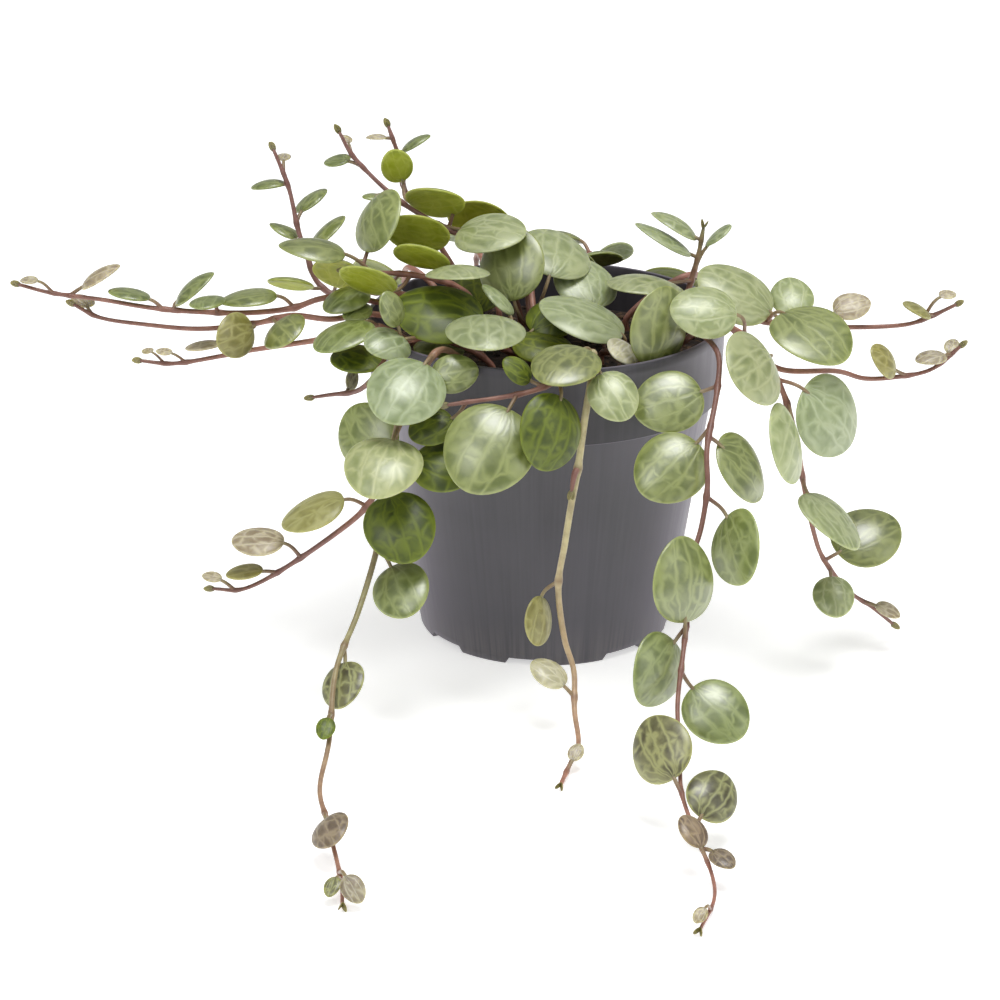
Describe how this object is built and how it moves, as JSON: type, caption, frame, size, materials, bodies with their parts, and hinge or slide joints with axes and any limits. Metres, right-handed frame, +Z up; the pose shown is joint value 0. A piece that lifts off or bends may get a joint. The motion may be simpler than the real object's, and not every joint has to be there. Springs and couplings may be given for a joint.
{
  "type": "potted trailing plant",
  "caption": "Small string of turtles in a tapered round plastic nursery pot: thin stems with fleshy round veined leaves rise, spread and trail over the rim.",
  "frame": {"origin": "centre of the pot's base, on the surface that it stands on", "axes": "+Z up along the pot axis; the front is towards -Y; +X is to the right seen from the front"},
  "size_m": [0.1573, 0.1865, 0.084],
  "materials": {
    "pot": "satin injection-moulded plastic, dark grey",
    "soil": "crumbly, moist peat potting mix",
    "vine_front_left": "fleshy green leaves with paler veins on thin pinkish stems",
    "vine_front_spray": "fleshy green leaves with paler veins on thin pinkish stems",
    "vine_front_middle": "fleshy green leaves with paler veins on thin pinkish stems",
    "vine_right_long": "fleshy green leaves with paler veins on thin pinkish stems",
    "vine_right_fall": "fleshy green leaves with paler veins on thin pinkish stems",
    "vine_right_upper": "fleshy green leaves with paler veins on thin pinkish stems",
    "vine_right_lower": "fleshy green leaves with paler veins on thin pinkish stems",
    "vine_right_riser": "fleshy green leaves with paler veins on thin pinkish stems",
    "vine_crown_right": "fleshy green leaves with paler veins on thin pinkish stems",
    "vine_crown_middle": "fleshy green leaves with paler veins on thin pinkish stems",
    "vine_crown_front": "fleshy green leaves with paler veins on thin pinkish stems",
    "vine_crown_left": "fleshy green leaves with paler veins on thin pinkish stems",
    "vine_left_fringe": "fleshy green leaves with paler veins on thin pinkish stems",
    "vine_left_low": "fleshy green leaves with paler veins on thin pinkish stems",
    "vine_left_middle": "fleshy green leaves with paler veins on thin pinkish stems",
    "vine_left_upper": "fleshy green leaves with paler veins on thin pinkish stems",
    "vine_left_riser": "fleshy green leaves with paler veins on thin pinkish stems",
    "vine_back_riser": "fleshy green leaves with paler veins on thin pinkish stems",
    "vine_back_shoot": "fleshy green leaves with paler veins on thin pinkish stems",
    "vine_back_left": "fleshy green leaves with paler veins on thin pinkish stems",
    "vine_back_short": "fleshy green leaves with paler veins on thin pinkish stems",
    "vine_back_tuft": "fleshy green leaves with paler veins on thin pinkish stems",
    "vine_back_middle": "fleshy green leaves with paler veins on thin pinkish stems",
    "vine_back_right": "fleshy green leaves with paler veins on thin pinkish stems",
    "vine_back_crown": "fleshy green leaves with paler veins on thin pinkish stems"
  },
  "bodies": {
    "root": {"pot": "pot", "soil": "soil", "vine_front_left": "vine_front_left", "vine_front_spray": "vine_front_spray", "vine_front_middle": "vine_front_middle", "vine_right_long": "vine_right_long", "vine_right_fall": "vine_right_fall", "vine_right_upper": "vine_right_upper", "vine_right_lower": "vine_right_lower", "vine_right_riser": "vine_right_riser", "vine_crown_right": "vine_crown_right", "vine_crown_middle": "vine_crown_middle", "vine_crown_front": "vine_crown_front", "vine_crown_left": "vine_crown_left", "vine_left_fringe": "vine_left_fringe", "vine_left_low": "vine_left_low", "vine_left_middle": "vine_left_middle", "vine_left_upper": "vine_left_upper", "vine_left_riser": "vine_left_riser", "vine_back_riser": "vine_back_riser", "vine_back_shoot": "vine_back_shoot", "vine_back_left": "vine_back_left", "vine_back_short": "vine_back_short", "vine_back_tuft": "vine_back_tuft", "vine_back_middle": "vine_back_middle", "vine_back_right": "vine_back_right", "vine_back_crown": "vine_back_crown"}
  },
  "joints": []
}
